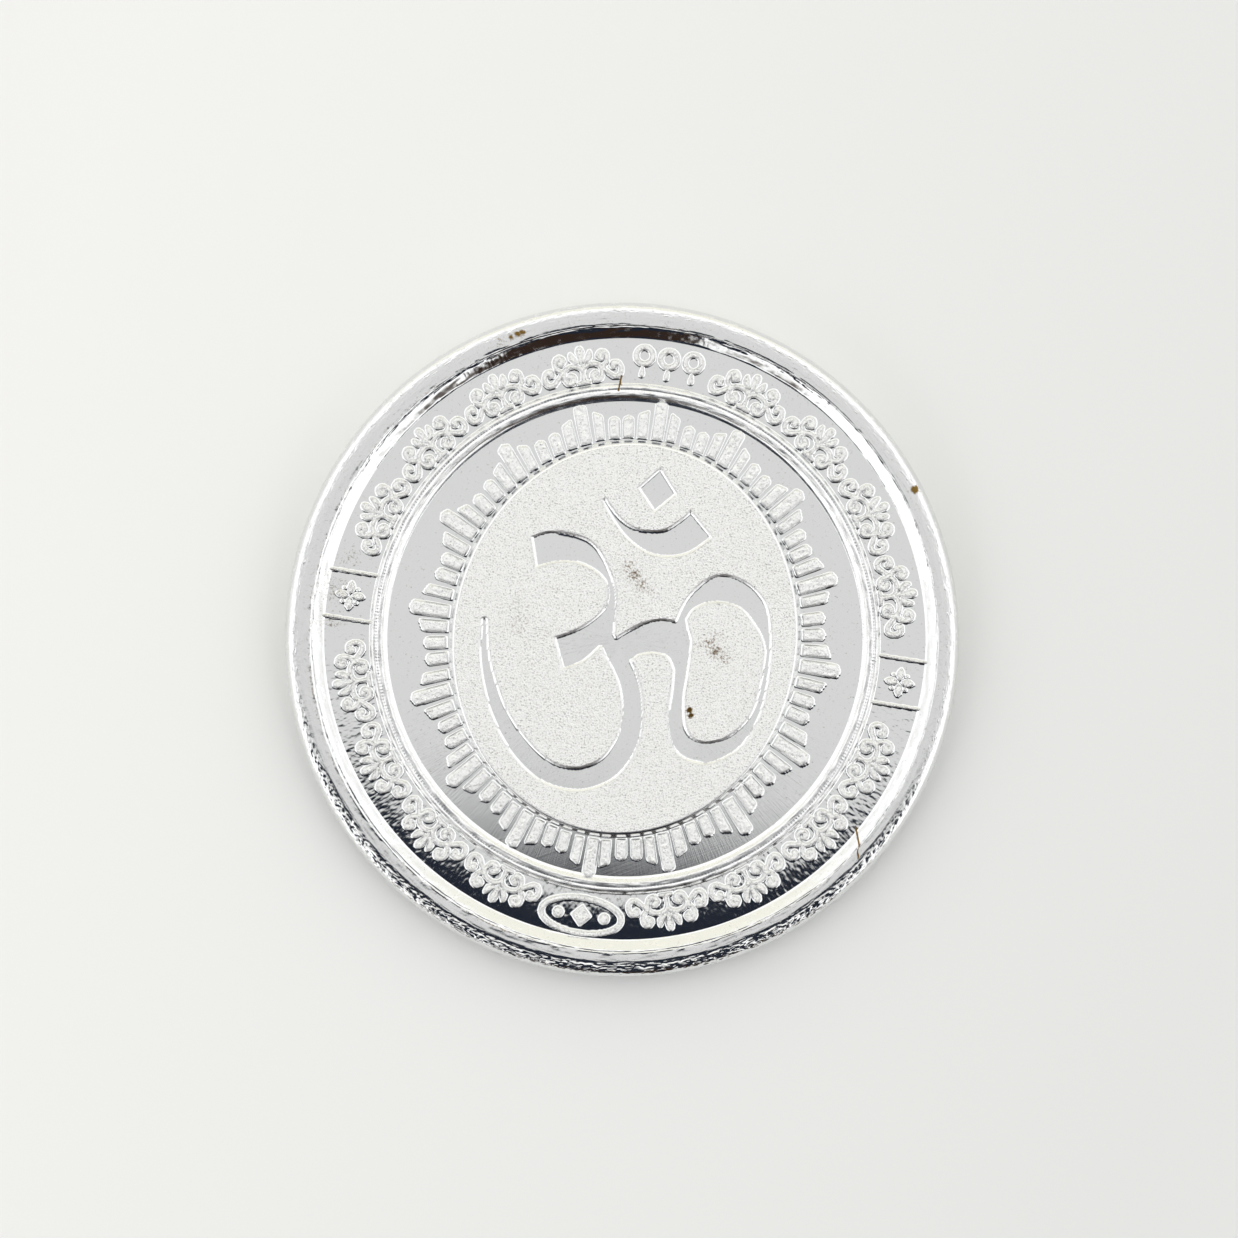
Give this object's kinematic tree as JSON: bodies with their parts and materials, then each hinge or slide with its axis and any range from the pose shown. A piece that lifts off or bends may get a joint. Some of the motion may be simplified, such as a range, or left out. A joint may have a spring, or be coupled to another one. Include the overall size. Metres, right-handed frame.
{
  "type": "devotional coin",
  "caption": "Round struck silver coin with a bevelled rim, scroll border, bead ring, sunburst and oval medallion with a sunk Om sign.",
  "frame": {"origin": "centre of the plane of the reverse rim, which the coin rests on", "axes": "+Z is square to the coin's faces and points out of the obverse; +Y points to the top of the design; +X to its right"},
  "size_m": [0.03, 0.03, 0.0018],
  "materials": {
    "fine_silver": "struck fine silver: mirror fields, frosted relief, light handling marks and tarnish specks"
  },
  "bodies": {
    "root": {"struck_coin": "fine_silver"}
  },
  "joints": []
}
